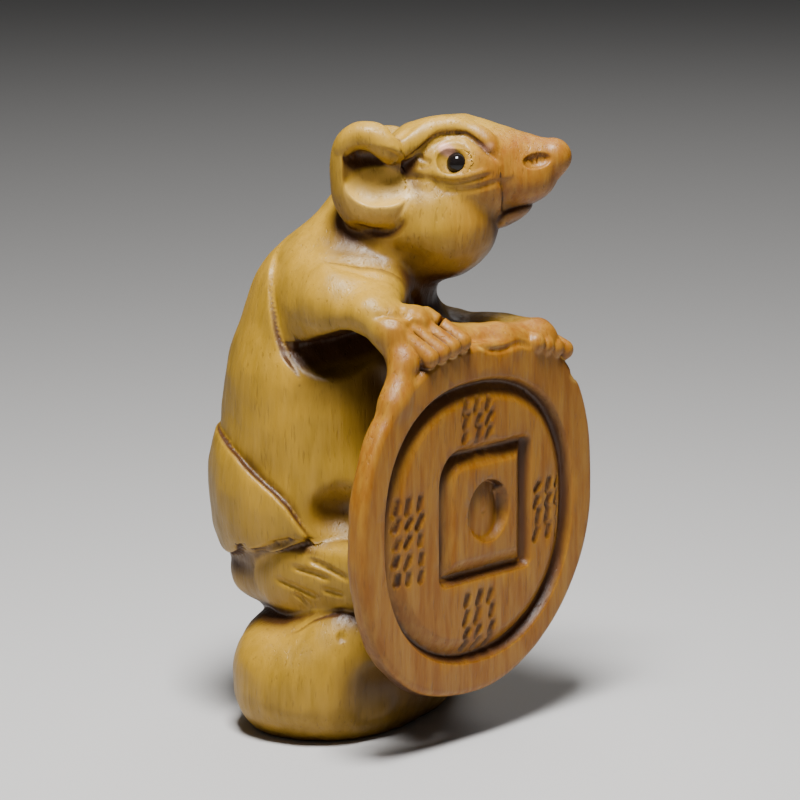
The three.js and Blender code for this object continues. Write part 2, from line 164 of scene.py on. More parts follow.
# ---- forms ----
def lump(centre, radii, turn=(0, 0, 0), power=2.0):
    """A rounded lump about its own middle. A power of 2 is an ellipsoid, and a higher one is squarer."""
    axes = np.array(Euler([math.radians(t) for t in turn], "ZYX").to_matrix())
    radii = np.array(radii, float)

    def form(p):
        share = np.abs((p - centre) @ axes) / radii + 1e-9
        if power == 2:
            k = np.sqrt((share ** 2).sum(1))
            slope = np.sqrt(((share / k[:, None] / radii) ** 2).sum(1))
        else:
            k = (share ** power).sum(1) ** (1 / power)
            slope = np.sqrt((((share / k[:, None]) ** (power - 1) / radii) ** 2).sum(1))
        return (k - 1) / slope

    return form


def rod(start, end):
    """A tapered rod with round ends, each (x, y, z, radius)."""
    a, b = np.array(start[:3], float), np.array(end[:3], float)
    along = b - a

    def form(p):
        t = np.clip(((p - a) @ along) / (along @ along), 0, 1)
        off = p - a - t[:, None] * along
        return np.sqrt((off ** 2).sum(1)) - (start[3] + t * (end[3] - start[3]))

    return form


def limb(joints, softness=1.0):
    """A limb through several joints, each (x, y, z, radius)."""
    return blend(softness, *[rod(a, b) for a, b in zip(joints, joints[1:])])


def smooth_min(a, b, softness):
    h = np.maximum(softness - np.abs(a - b), 0)
    return np.minimum(a, b) - h * h / (4 * softness)


def blend(softness, *forms):
    """Joins forms as flesh runs on, over about the given distance."""
    def form(p):
        made = forms[0](p)
        for other in forms[1:]:
            made = smooth_min(made, other(p), softness)
        return made

    return form


def carve(form, tool, softness=0.15):
    """Takes a tool's form out of another, with an edge rounded over about the given distance."""
    return lambda p: -smooth_min(-form(p), tool(p), softness)


def within(low, high, form):
    """The form is worked out only inside a box, to save time."""
    def limited(p):
        made = np.full(len(p), FAR)
        inside = ((p > low) & (p < high)).all(1)
        if inside.any():
            made[inside] = form(p[inside])
        return made

    return limited


def in_head(form):
    """A form given in the head's own frame."""
    return lambda p: form((p - HEAD_AT) @ HEAD_AXES.T)


def both_sides(form):
    """The form and its mirror image across the middle plane."""
    return lambda p: np.minimum(form(p), form(p * (-1, 1, 1)))


def slope_of(form, p, step=0.02):
    here = form(p)
    slope = np.stack([form(p + step * axis) - here for axis in np.eye(3)], 1) / step
    return here, slope


def settle(form, p, rounds=3, reach=0.6):
    """Moves points down the form's slope onto its surface, but each round no further than the reach."""
    for _ in range(rounds):
        here, slope = slope_of(form, p)
        move = -here / np.maximum((slope ** 2).sum(1), 0.3)
        far = np.abs(move) * np.sqrt((slope ** 2).sum(1))
        move *= np.minimum(1, reach / np.maximum(far, 1e-9))
        p = p + move[:, None] * slope
    return p


def smoothed(points, pitch=0.4):
    """Points at a small pitch along a curve through the given ones, which may carry a radius too."""
    points = np.array(points, float)
    ends = np.concatenate((2 * points[:1] - points[1:2], points, 2 * points[-1:] - points[-2:-1]))
    made = [points[:1]]
    for before, a, b, after in zip(ends, ends[1:], ends[2:], ends[3:]):
        steps = max(1, math.ceil(np.linalg.norm((b - a)[:3]) / pitch))
        t = (np.arange(1, steps + 1) / steps)[:, None]
        bend = (2 * before - 5 * a + 4 * b - after) * t ** 2 + (3 * a - before - 3 * b + after) * t ** 3
        made.append(a + ((b - before) * t + bend) / 2)
    return np.concatenate(made)


# ---- cuts that follow the surface ----


def stroke(form, points, depth, width, long_side=None, long=0.0, fade=True):
    """A cut along a path laid on the form: how much deeper it makes the surface at each point.

    A negative depth raises a ridge. With a long side, the cut is a step: it runs out slowly over that
    distance to the side that the direction points to, and is steep on the other.
    """
    path = settle(form, smoothed(points), rounds=8, reach=2.0)
    starts, runs = path[:-1], np.diff(path, axis=0)
    _, out = slope_of(form, path, 0.3)
    out /= np.maximum(np.linalg.norm(out, axis=1), 1e-6)[:, None]
    reach = max(width, long, DEEPEST)
    low, high = path.min(0) - reach, path.max(0) + reach
    total = len(runs)

    def cut(p):
        made = np.zeros(len(p))
        near = np.flatnonzero(((p > low) & (p < high)).all(1))
        if not len(near):
            return made
        q = p[near]
        best = np.full(len(q), 1e9)
        side = np.zeros(len(q))
        where = np.zeros(len(q))
        for i, (a, run) in enumerate(zip(starts, runs)):
            t = np.clip(((q - a) @ run) / max(run @ run, 1e-9), 0, 1)
            off = q - a - t[:, None] * run
            up = out[i] * (1 - t)[:, None] + out[i + 1] * t[:, None]
            height = (off * up).sum(1)
            off -= height[:, None] * up  # only the way across the surface counts
            d = (off ** 2).sum(1) + np.maximum(np.abs(height) - DEEPEST, 0) * 1e3
            closer = d < best
            best[closer] = d[closer]
            where[closer] = (i + t[closer]) / total
            if long_side is not None:
                side[closer] = off[closer] @ np.array(long_side)
        d = np.sqrt(best)
        spread = np.where(side > 0, long, width) if long_side is not None else width
        share = np.clip(1 - d / spread, 0, 1)
        amount = share * share * (3 - 2 * share) if long_side is not None else share ** 1.3
        if fade:
            amount = amount * np.clip(np.minimum(where, 1 - where) * 6 + 0.25, 0, 1)
        made[near] = depth * amount
        return made

    return cut


def twice(cut, mirror):
    """The cut, and its mirror image on the other side."""
    return lambda p: cut(p) + cut(mirror(p))


def dent(centre, radii, depth, turn=(0, 0, 0)):
    """A shallow round dent."""
    near = lump(centre, radii, turn)
    size = min(radii)
    return lambda p: depth * np.clip(-near(p) / size, 0, 1) ** 1.5


def ripple(waves, length, seed):
    """Slow unevenness that knives and the hand leave, between about -1 and 1."""
    rng = np.random.default_rng(seed)
    turns = rng.normal(size=(waves, 3))
    sizes = np.linalg.norm(turns, axis=1)[:, None]
    turns *= (2 * math.pi / length) * rng.uniform(0.6, 1.6, (waves, 1)) / sizes
    phases = rng.uniform(0, 2 * math.pi, waves)
    return lambda p: np.sin(p @ turns.T + phases).sum(1) / math.sqrt(waves)


def relax(mesh, points, form, rounds):
    """Evens out the facets: each point goes halfway to the middle of its neighbours and settles again."""
    ends = np.empty(len(mesh.edges) * 2, dtype=np.int64)
    mesh.edges.foreach_get("vertices", ends)
    a, b = ends.reshape(-1, 2).T
    size = len(points)
    neighbours = np.bincount(ends, minlength=size)[:, None]
    for _ in range(rounds):
        total = np.stack([np.bincount(a, points[b, i], size) + np.bincount(b, points[a, i], size)
                          for i in range(3)], 1)
        points = settle(form, points * 0.5 + 0.5 * total / neighbours, rounds=1)
    return points


# ---- the rat ----
def torso():
    hips = lump((0, 1.1, 19), (10.9, 10.4, 13))
    chest = lump((0, 1.1, 28.2), (10.5, 9.6, 12))
    neck = rod((-0.8, 1.6, 36, 5.8), (2, -4.6, 43.5, 5.8))
    near_shoulder = rod((-4.2, -0.4, 37, 4.4), (-7, -4.8, 36.9, 2.9))
    far_shoulder = rod((3.6, 1, 34.6, 3.2), (5.4, -1.4, 32, 3))
    core = lump((0, -10, 19), (6, 4.5, 10))
    shelf = lump((2.5, -8.5, 31.4), (6.5, 4.5, 3))
    body = blend(3, hips, chest, neck, near_shoulder, far_shoulder)
    body = blend(2, body, core, shelf, limb(RIGHT_ARM, 2), rod(*WEB))
    right, left = lump(*RIGHT_HOLLOW), lump(*LEFT_HOLLOW)

    def under_right_arm(p):
        ceiling = p[:, 2] - RIGHT_HOLLOW_CEILING - CEILING_RISE * np.clip(-4 - p[:, 1], -3, 3.5)
        return np.maximum(np.maximum(right(p), RIGHT_HOLLOW_FLOOR - p[:, 2]), ceiling)

    def under_left_arm(p):
        return np.maximum(np.maximum(left(p), LEFT_HOLLOW_FLOOR - p[:, 2]), p[:, 2] - LEFT_HOLLOW_CEILING)

    hollowed = carve(carve(body, under_right_arm, 0.35), under_left_arm, 0.4)
    return carve(hollowed, lump(*LAP_HOLLOW), 1.2)


def half_space(point, normal):
    """Everything behind a plane through the point."""
    normal = np.array(normal, float) / np.linalg.norm(normal)
    return lambda p: (p - point) @ normal


def keep_behind(form, cut, softness):
    """What of a form is inside another, with an edge rounded over about the given distance."""
    return lambda p: -smooth_min(-form(p), -cut(p), softness)


def haunches():
    """Each thigh stands proud of the flank and the foot, between flat cuts that go in behind its edge."""
    thigh = lump((-2.5, 1, 20), (9.5, 10.3, 12))
    for degrees, y, z, side in THIGH_CUTS:
        tilt = math.radians(degrees)
        normal = (UNDERCUT, -side * math.sin(tilt), side * math.cos(tilt))
        thigh = keep_behind(thigh, half_space((THIGH_SIDE, y, z), normal), 0.5)
    foot = limb(((-6.2, 4, 13.1, 3.2), (-7.4, -2.5, 13.3, 3.6), (-7.2, -9.8, 14.4, 2.6)), 2)
    foot = keep_behind(foot, half_space((-10.7, -1, 13), (-20, -5, -3.2)), 1.5)
    return both_sides(blend(0.15, thigh, foot))


def seat():
    slab = lump((-0.8, -0.7, 4.5), (13.1, 8.1, 6.6), turn=(0, 0, 14), power=2.4)
    mound = lump((-1, -5, 8.2), (9.6, 6, 5.4))
    pocket = lump((-8.2, -10.6, 4.2), (3.2, 1.7, 2.2), turn=(0, 0, 20))
    return carve(blend(2, slab, mound), pocket, 1.4)


def tail():
    joints = ((0, 9.6, 12.5, 2.2), (5.5, 8.3, 9.4, 2), (9.6, 6, 7.5, 1.8), (11.4, 2, 6.4, 1.7),
              (10.6, -3, 6.6, 1.3))
    return within((-5, -9, 2), (18, 15, 18), limb(joints))


def near_side(form):
    """A form of the head's near side, and its mirror image on the far side."""
    return lambda p: form(np.stack((p[:, 0], -np.abs(p[:, 1]), p[:, 2]), 1))


def head():
    """In the head's own frame, and the same on both sides."""
    skull = lump((-1.4, 0, -0.6), (6.2, 5.2, 4.7))
    jowl = lump((-2.6, 0, -4.6), (5.7, 5.6, 5.2), power=2.1)
    nape = lump((-5.5, 0, -4.5), (4.6, 5, 5.5))
    muzzle = rod((1.2, 0, -0.6, 4.4), (7.5, 0, 0.75, 1.6))
    lip = lump((4.5, 0, -1.3), (3.1, 2.6, 2))
    chin = lump((3.8, 0, -4.25), (2.3, 1.5, 0.75), turn=(0, -26, 0))
    face = blend(0.5, blend(1.6, jowl, nape), blend(1.5, skull, muzzle, lip))
    face = blend(0.08, face, chin)
    brow = limb(smoothed(((-5.6, -5.4, 0.7, 0.75), (-4.4, -4.9, 1.4, 0.8), (-2.2, -3.7, 2.6, 0.8),
                          (0.3, -3, 2.8, 0.7), (1.8, -3.1, 2.1, 0.65), (2.6, -3.3, 1.2, 0.45)), 0.8), 1)
    shell, cup, rim = ear()
    made = carve(blend(0.25, face, near_side(shell)), near_side(cup), 0.2)
    made = blend(0.2, made, near_side(blend(0.5, rim, brow)))
    for point, radii, turn, softness in (
        ((6.5, -2.3, 0.4), (1.3, 0.85, 0.66), (0, -12, 22), 0.15),  # nostril
        ((-0.42, -EYE_SIDE - 1, 0.25), (1.27, 0.95, 1.15), (0, 0, 0), 0.12),  # round the bead
    ):
        made = carve(made, near_side(lump(point, radii, turn)), softness)
    return made


def ear():
    """The ear's shell, what is cut out of it, and the fold along its top."""
    turn = (12, 0, -14)
    shell = lump((-7.3, -5.3, -1.2), (3.3, 1.5, 4.6), turn, 2.4)
    cup = lump((-6.6, -7.3, -1.3), (3, 2.2, 2.6), turn)
    deep = lump((-7.3, -6.6, 0.1), (2.1, 1.9, 1.1), (12, 14, -14))
    mouth_of_cup = lump((-4.3, -7.4, -1.6), (2.7, 2.75, 2.2), turn)
    rim = limb(smoothed(((-9.4, -5.9, 1, 0.55), (-8.3, -6.1, 2.1, 0.8), (-6.9, -6.3, 2.1, 0.9),
                         (-5.8, -6.1, 1.2, 0.8), (-5.4, -5.9, 0.4, 0.5)), 0.6), 0.6)
    return shell, blend(0.8, cup, deep, mouth_of_cup), rim


def bridge():
    """The left forearm along the top of the coin, and the right hand and its wrist down the coin's edge."""
    forearm = limb(((-5, -10.2, 34.4, 1.7), (-1.5, -11.2, 33.3, 1.9), (4, -12.8, 32.7, 2),
                    (9, -13, 32.5, 1.8)))
    wrist = limb(((-7.9, -9.6, 36.6, 1.5), (-7.9, -11.8, 35.2, 1.3), (-8, -13.4, 33, 1.1),
                  (-10, -13.9, 30.2, 0.9)))
    hand = limb(((-7.8, -9.8, 36.6, 1.5), (-5.4, -11.8, 35.5, 1.5), (-3.6, -11.8, 35.6, 1.2)))
    return within((-16, -20, 25), (16, -5, 42), blend(0.8, forearm, wrist, hand))


def fingers():
    """Four fingers a paw, evenly spread between the first and the last."""
    def row(first, last, knuckle_radius, tip_radius):
        made = []
        for n in range(4):
            ends = [np.array(a) * (1 - n / 3) + np.array(b) * (n / 3) for a, b in zip(first, last)]
            made.append(rod((*ends[0], knuckle_radius), (*ends[1], tip_radius)))
        return lambda p: np.minimum.reduce([finger(p) for finger in made])

    right = row(*RIGHT_FINGERS, 0.62, 0.86)
    left = row(*LEFT_FINGERS, 0.8, 0.88)
    return within((-14, -20, 28), (16, -8, 40), lambda p: np.minimum(right(p), left(p)))


# ---- the coin ----
def oval(p, centre, half_width, rise, drop, powers):
    """How far points lie outside an oval in X and Z whose quarters have powers of their own."""
    x, z = p[:, 0] - centre[0], p[:, 2] - centre[1]
    half_height = np.where(z > 0, rise, drop)
    power = np.where(z > 0, np.where(x > 0, powers[0], powers[1]), np.where(x < 0, powers[2], powers[3]))
    across, along = np.abs(x) / half_width + 1e-9, np.abs(z) / half_height + 1e-9
    k = (across ** power + along ** power) ** (1 / power)
    slope = np.hypot((across / k) ** (power - 1) / half_width, (along / k) ** (power - 1) / half_height)
    return (k - 1) / slope


def squared(p):
    """How far points lie outside the coin's square, whose upper left corner is rounded off."""
    x, z = p[:, 0] - SQUARE_CENTRE[0], p[:, 2] - SQUARE_CENTRE[1]
    corner = np.where((x < 0) & (z > 0), 2.4, 0.3)
    across, along = np.abs(x) - SQUARE_HALF + corner, np.abs(z) - SQUARE_HALF + corner
    outside = np.hypot(np.maximum(across, 0), np.maximum(along, 0))
    return outside + np.minimum(np.maximum(across, along), 0) - corner


def groove(d, outer, inner, depth):
    """Depth of a V-shaped groove whose bottom is at d = 0, from its slopes' widths outside and inside."""
    t = np.where(d > 0, d / outer, -d / inner)
    return depth * np.clip(1 - t, 0, 1) ** 1.2


def coin_oval(p):
    return oval(p, COIN_CENTRE, COIN_HALF_WIDTH, COIN_RISE, COIN_DROP, COIN_POWERS)


def coin():
    """A slab with rounded edges, a sunk oval field, a square in it and a pit in the square."""
    rough = ripple(9, 1.1, 5)

    def pit(p):
        x, z = p[:, 0] - PIT_AT[0], p[:, 2] - PIT_AT[1]
        r = np.hypot(x, z * 0.97)
        wall = (PIT_RADIUS - r) * np.where(x - z < 0, PIT_STEEP, PIT_GENTLE)
        floor_of_pit = PIT_DEPTH - PIT_SLOPE * (x - z) + PIT_ROUGH * rough(p)
        return np.clip(np.minimum(wall, floor_of_pit), 0, None)

    def face(p):
        outer = 0.6  # from the field's edge to the bottom of its groove
        half_height = FIELD_HALF_HEIGHT - outer
        field = oval(p, FIELD_CENTRE, FIELD_HALF_WIDTH - outer, half_height, half_height, FIELD_POWERS)
        depth = groove(field, outer, 1.5, GROOVE_DEPTH) + 0.12 * np.clip(0.5 - field, 0, 1)
        depth += groove(squared(p), 0.65, 1.4, GROOVE_DEPTH)
        depth += pit(p)
        return (COIN_FACE_Y + depth - p[:, 1]) * 0.8

    def form(p):
        edge = coin_oval(p) + COIN_EDGE
        thick = np.abs(p[:, 1] - COIN_FACE_Y - COIN_THICK / 2) - COIN_THICK / 2 + COIN_EDGE
        outside = np.hypot(np.maximum(edge, 0), np.maximum(thick, 0))
        slab = outside + np.minimum(np.maximum(edge, thick), 0) - COIN_EDGE
        return np.maximum(slab, face(p))

    return within((-18, -18, 1), (18, -9, 38), form)


def coin_strokes():
    """Rows of short shallow strokes in the four places of an inscription. They aren't letters."""
    rng = np.random.default_rng(11)
    made = []
    for x, z, wide, tall, across, up in STROKE_ROWS:
        for j in range(up):
            for i in range(across):
                u = x + wide * ((i + 0.5) / across - 0.5) + rng.uniform(-0.15, 0.15)
                v = z + tall * ((j + 0.5) / up - 0.5) + rng.uniform(-0.1, 0.1)
                tilt = rng.uniform(0.2, 0.7)
                run = np.array((math.sin(tilt), 0, math.cos(tilt))) * rng.uniform(0.35, 0.6)
                middle = np.array((u, COIN_FACE_Y, v))
                made.append((middle - run, middle + run, rng.uniform(0.28, 0.42)))
    return made


def figure():
    """The whole figure's rounded forms, without scored lines."""
    body, thighs, base, tail_form = torso(), haunches(), seat(), tail()
    head_form = within((-11, -20, 32), (18, 5, 56), in_head(head()))
    left_arm = within((-4, -20, 24), (18, 8, 44), limb(LEFT_ARM, 2.5))
    bridge_form, finger_forms, coin_form = bridge(), fingers(), coin()

    def form(p):
        made = smooth_min(body(p), thighs(p), 0.25)
        made = smooth_min(made, base(p), 0.4)
        made = smooth_min(made, tail_form(p), 0.4)
        made = smooth_min(made, head_form(p), 0.7)
        made = smooth_min(made, left_arm(p), 0.4)
        made = smooth_min(made, bridge_form(p), 0.6)
        paws = smooth_min(made, finger_forms(p), 0.1)
        soft = 0.25 + 1.2 * np.clip((-7.6 - p[:, 0]) / 1.5, 0, 1)  # the wrist runs on into the rim
        made = smooth_min(paws, coin_form(p), soft)
        return np.maximum(made, -p[:, 2])

    return form


def body_cuts(line):
    return [
        # shoulder: the flank stands proud behind this line
        line(((-6.6, 3, 40.6), (-7.8, 1.8, 39), (-8.9, 1, 36.7), (-9.5, -0.7, 33.2), (-9.2, -2.8, 30.9)),
             0.42, 0.35, long_side=(0.4, -1, 0), long=2.6),
        # folds from the shoulder to the throat
        line(((-7.6, -3.6, 41), (-5.6, -6.4, 40), (-3, -7.8, 38)), 0.22, 1.0),
        line(((-7.9, -5.2, 39.8), (-6.3, -7.6, 38.8), (-4, -8.6, 37.2)), 0.2, 0.9),
        line(((-3.2, -7.6, 41.3), (-2.4, -9, 40.9), (-1.2, -9.8, 40.3)), 0.1, 0.9),
        line(((-1.6, -7.4, 37.6), (0.4, -7.8, 36.2), (2, -8.2, 35)), 0.25, 0.8),
        # across the back of the right hand
        line(((-9, -11.2, 36.6), (-7.8, -12.4, 36.7), (-6.4, -12.8, 36.7)), 0.25, 0.5),
        # beside the left paw and below it
        line(((-0.6, -14.6, 33.6), (2, -15, 33), (4.6, -15, 33.2), (6.2, -15, 32.7)), 0.25, 0.45),
        line(((12.4, -15, 30.6), (12.9, -14.6, 29.4)), 0.35, 0.6),
    ]


def leg_cuts(line):
    """The right leg's."""
    return [
        # under the knee
        line(((-9.8, 4.6, 14.3), (-11.4, 0.3, 15.5), (-11.3, -1.7, 16.5), (-10.3, -4.3, 17)), 0.45, 0.6),
        line(((-11.2, -1.5, 16.8), (-10.7, -3.2, 17.3)), 0.25, 0.4),
        # toes
        line(((-11.1, -1.3, 13.4), (-10.7, -3.4, 12.8), (-10.2, -5.1, 12.2)), 0.42, 0.42),
        line(((-11, -3.1, 14.7), (-10.6, -4.8, 14.4), (-10.2, -6.3, 14)), 0.42, 0.42),
        line(((-10.7, -4.7, 15.6), (-10.2, -6.4, 15), (-9.8, -8.1, 14.2)), 0.42, 0.42),
        line(((-11.1, -3.2, 12.2), (-10.6, -4.2, 11.5)), 0.4, 0.4),
        line(((-10.4, -5.9, 12.9), (-9.8, -7.6, 12.6)), 0.3, 0.4),
        # where the foot meets the seat
        line(((-10.9, -3.2, 9.4), (-10.3, -4.1, 10), (-9.6, -5, 10.5), (-8.4, -7.2, 11.4)), 0.22, 0.5),
    ]


def head_cuts(line):
    """The head's right side's, in its own frame."""
    return [
        # above and under the brow
        line(((-5.2, -6.8, 2.5), (-3.5, -4.5, 3), (-1, -3.4, 3.7), (1.2, -3.1, 3.2), (2.6, -2.8, 2.6)),
             0.28, 0.6),
        line(((-4.5, -5.3, 0.35), (-4, -5.2, 0.7), (-2.9, -4.9, 1.5), (-1.8, -4.5, 2.3), (-0.5, -4.1, 2.5),
              (0.7, -3.9, 2.4), (1.7, -3.9, 1.7), (2.4, -4, 0.9), (3.4, -3.7, 0.2)), 0.36, 0.4),
        # lids: a ridge above the bead, a ridge and a crease below it, and two lines behind it
        line(((-2.2, -5.1, 0.2), (-1.6, -4.9, 1.2), (-0.4, -4.7, 1.8), (0.7, -4.6, 1.5), (1.3, -4.7, 0.7)),
             -0.12, 0.4),
        line(((-2, -5.2, -0.6), (-1, -5.2, -1.1), (0.2, -5.1, -1.2), (1.4, -4.9, -0.9), (2.6, -4.4, -0.5)),
             -0.16, 0.4),
        line(((-2.4, -5.2, -1.1), (-1.4, -5.2, -1.6), (0.2, -5.1, -1.7), (1.8, -4.8, -1.3),
              (3, -4.2, -0.9)), 0.16, 0.4),
        line(((-3.2, -5.1, 0.5), (-2.6, -5.1, 0.2), (-2.1, -5.1, 0.1)), 0.2, 0.3),
        line(((-3.2, -5.1, -0.4), (-2.6, -5.1, -0.3), (-2.1, -5.1, -0.1)), 0.16, 0.3),
        # cheek: its top edge and its front, where the muzzle is cut back
        line(((-4.3, -5, -1.3), (-2.4, -5.2, -1.4), (-1, -5.2, -2.2), (1.2, -4.9, -2.2), (2.8, -4.2, -1.7),
              (3.6, -3.7, -1.4)), 0.22, 0.5),
        line(((3.6, -3.8, -1.3), (3.8, -3.3, -2.2), (3.8, -2.6, -3.2), (3.7, -1.6, -4.2)), 0.3, 0.25,
             long_side=tuple(HEAD_AXES[0]), long=1.8),
        # under the ear
        line(((-8.6, -5, -5.4), (-6.8, -5.4, -6), (-5, -5.6, -5.6), (-4.2, -5.6, -4.6)), 0.35, 0.6),
    ]


def dents():
    """On the coin round its square, on the seat, in the lap and on the flank: middle, radii and depth."""
    for centre, radii, depth in (
        ((0.2, -15, 25.2), (2.6, 0.9, 0.8), 0.45), ((4.4, -15, 24.9), (1.5, 0.9, 0.7), 0.4),
        ((-9.5, -7.7, 9.3), (0.6, 0.6, 0.6), 0.3), ((0.6, -13.6, 19.4), (0.8, 1, 0.6), 0.35),
        ((-9.9, -1.2, 32.6), (1.4, 1.4, 1.0), 0.15),
    ):
        yield dent(centre, radii, depth)


def scored(form):
    """The figure with its scored lines, dents and unevenness, and how deep its cuts are."""
    line = lambda points, *sizes, **more: stroke(form, points, *sizes, **more)
    head_line = lambda points, *sizes, **more: line([out_of_head(point) for point in points], *sizes, **more)
    other_leg = lambda p: p * (-1, 1, 1)
    other_cheek = lambda p: out_of_head((p - HEAD_AT) @ HEAD_AXES.T * (1, -1, 1))
    cuts = body_cuts(line)
    cuts += [twice(cut, other_leg) for cut in leg_cuts(line)]
    cuts += [twice(cut, other_cheek) for cut in head_cuts(head_line)]
    cuts += [line((start, end), depth, STROKE_WIDTH, fade=False) for start, end, depth in coin_strokes()]
    cuts += dents()
    slow, fine = ripple(14, SLOW_WAVES[1], 2), ripple(16, FINE_WAVES[1], 3)
    chatter = ripple(16, CHATTER[1], 4)
    hand = lump((-7, -12.2, 36.4), (2.6, 2.4, 1.6))

    def depth(p):
        return sum(cut(p) for cut in cuts)

    def uneven(p):
        flat = np.clip((p[:, 1] + 14.4) / 0.6, 0.15, 1)  # the coin's face is truer than the rest
        lift = SLOW_WAVES[0] * slow(p) * flat + FINE_WAVES[0] * fine(p) * flat
        return lift + CHATTER[0] * chatter(p) * np.clip(-hand(p), 0, 1)

    return (lambda p: np.maximum(form(p) + depth(p) + uneven(p), -p[:, 2])), depth


# ---- meshes ----
def take_points(mesh):
    points = np.empty(len(mesh.vertices) * 3)
    mesh.vertices.foreach_get("co", points)
    return points.reshape(-1, 3)


def set_points(mesh, points):
    mesh.vertices.foreach_set("co", points.astype(np.float32).ravel())
    mesh.update()


def with_modifier(piece, kind, **settings):
    """The piece's mesh with one modifier applied."""
    modifier = piece.modifiers.new(kind, kind)
    for name, value in settings.items():
        setattr(modifier, name, value)
    evaluated = piece.evaluated_get(bpy.context.evaluated_depsgraph_get())
    made = bpy.data.meshes.new_from_object(evaluated)
    piece.modifiers.clear()
    piece.data = made
    return made


def new_piece(name, mesh, slot, *nodes):
    piece = bpy.data.objects.new(name, mesh)
    bpy.context.scene.collection.objects.link(piece)
    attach(piece, "root")
    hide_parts(*nodes)
    return piece


def carved_block():
    """The CAD block again, with its facets carved away."""
    bm = bmesh.new()
    bm.from_mesh(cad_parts["carving"].data)
    bmesh.ops.remove_doubles(bm, verts=bm.verts, dist=0.002 * MM)
    start, end = np.array(WEB)
    fillers = [start * (1 - share) + end * share for share in (0, 0.25, 0.5, 0.75, 1)]
    fillers += [(*out_of_head(point), radius) for *point, radius in MOUTH_FILL]
    for x, y, z, radius in fillers:  # balls in gaps that the carved copy doesn't have
        at = Matrix.Translation((x * MM, y * MM, z * MM))
        bmesh.ops.create_icosphere(bm, subdivisions=2, radius=radius * MM, matrix=at)
    mesh = bpy.data.meshes.new("netsuke_block")
    bm.to_mesh(mesh)
    bm.free()
    piece = new_piece("netsuke_block", mesh, "boxwood", "carving")
    mesh = with_modifier(piece, "REMESH", mode="VOXEL", voxel_size=FINE_CELL * MM)
    plain = figure()
    form, cut_depth = scored(plain)
    points = settle(plain, take_points(mesh) / MM, rounds=3)
    points = relax(mesh, settle(form, points, rounds=1), form, rounds=3)
    set_points(mesh, points * MM)
    count = sum(len(polygon.vertices) - 2 for polygon in mesh.polygons)
    mesh = with_modifier(piece, "DECIMATE", ratio=min(1, MOST_TRIANGLES / count))
    points = settle(form, take_points(mesh) / MM, rounds=1)
    set_points(mesh, points * MM)
    mesh.shade_smooth()
    mark_surface(mesh, form, points, cut_depth)
    return piece


def mark_surface(mesh, form, points, cut_depth):
    """Stores what the finish reads at each point, each from 0 to 1.

    They are how deep it lies in a recess, for painted shade and dark patina; how far it stands out, for pale
    wear and painted highlights; how deeply it is scored, and how sheltered it is from above, both for painted
    shade; and where painted highlights lie on the lids.
    """
    _, slope = slope_of(form, points)
    out = slope / np.linalg.norm(slope, axis=1)[:, None]
    upward = out * 0.8 + (0, 0, 1)
    upward /= np.linalg.norm(upward, axis=1)[:, None]

    def filled(way, reaches):
        shares = [np.clip((reach - form(points + reach * way)) / reach, 0, 1) for reach in reaches]
        return sum(shares) / len(reaches)

    thin = sum(np.clip((reach + form(points - reach * out)) / reach, 0, 1) for reach in EDGE_REACHES)
    recess_shade_and_patina, shade_from_above, stands = filled(out, RECESS_REACHES), filled(upward, SHELTER_REACHES), thin / 2
    # the scored lines take painted shade, fully on the coin's face
    score = np.clip(cut_depth(points) / 0.4, 0, 1) * np.where(points[:, 1] < -14, 1, 0.5)
    ear_floor = in_head(near_side(lump((-6.4, -5.6, -2.8), (2.9, 1.8, 2.5))))(points)
    feet = both_sides(lump((-10.4, -3.5, 13.4), (3, 5.5, 2.4)))(points)
    lit_unshaded = np.clip(0.5 - np.minimum(ear_floor, feet) / 0.6, 0, 1)  # painted shade is lifted on the ear's floor and the feet, where the light falls
    recess_shade_and_patina *= 1 - 0.9 * lit_unshaded
    shade_from_above *= 1 - 0.9 * lit_unshaded
    # a painted highlight on the lit floor of the ear
    stands += 0.8 * np.clip(0.5 - ear_floor / 0.6, 0, 1)
    # a painted highlight along the crest of the coin's rim
    rim = np.clip(1 - np.abs(coin_oval(points) + 0.35) / 0.7, 0, 1) * (points[:, 1] < COIN_FACE_Y + 1)
    stands += 0.35 * rim
    # where a painted highlight lies: on the lid above each bead and on the brow's front
    lid = lump((-0.8, -4.8, 1.05), (0.85, 0.8, 0.5), (0, 35, 0))
    brow_front = rod((1.5, -3.6, 2.6, 0.3), (2.5, -3.7, 1.5, 0.45))
    lid_highlight = np.clip(0.5 - in_head(near_side(blend(0.2, lid, brow_front)))(points) / 0.3, 0, 1)
    marks = {"recess_shade_and_patina": recess_shade_and_patina, "stands": stands, "score": score, "shade_from_above": shade_from_above, "lid_highlight": lid_highlight}
    for name, values in marks.items():
        layer = mesh.attributes.new(name, "FLOAT", "POINT")
        layer.data.foreach_set("value", values.astype(np.float32))


def bead(name, node):
    """A polished bead, a little flatter than a ball."""
    bm = bmesh.new()
    low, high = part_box(node)
    radius = (high.z - low.z) / 2
    bmesh.ops.create_icosphere(bm, subdivisions=4, radius=radius)
    bmesh.ops.scale(bm, vec=(1, 0.96, 1), verts=bm.verts)
    bmesh.ops.translate(bm, vec=(low + high) / 2, verts=bm.verts)
    mesh = bpy.data.meshes.new(name)
    bm.to_mesh(mesh)
    bm.free()
    mesh.shade_smooth()
    return new_piece(name, mesh, "bead", node)


# ---- finishes ----
def socket_of(tree, name, kind, side="INPUT", value=None):
    made = tree.interface.new_socket(name=name, in_out=side, socket_type=kind)
    if value is not None:
        made.default_value = value
    return made


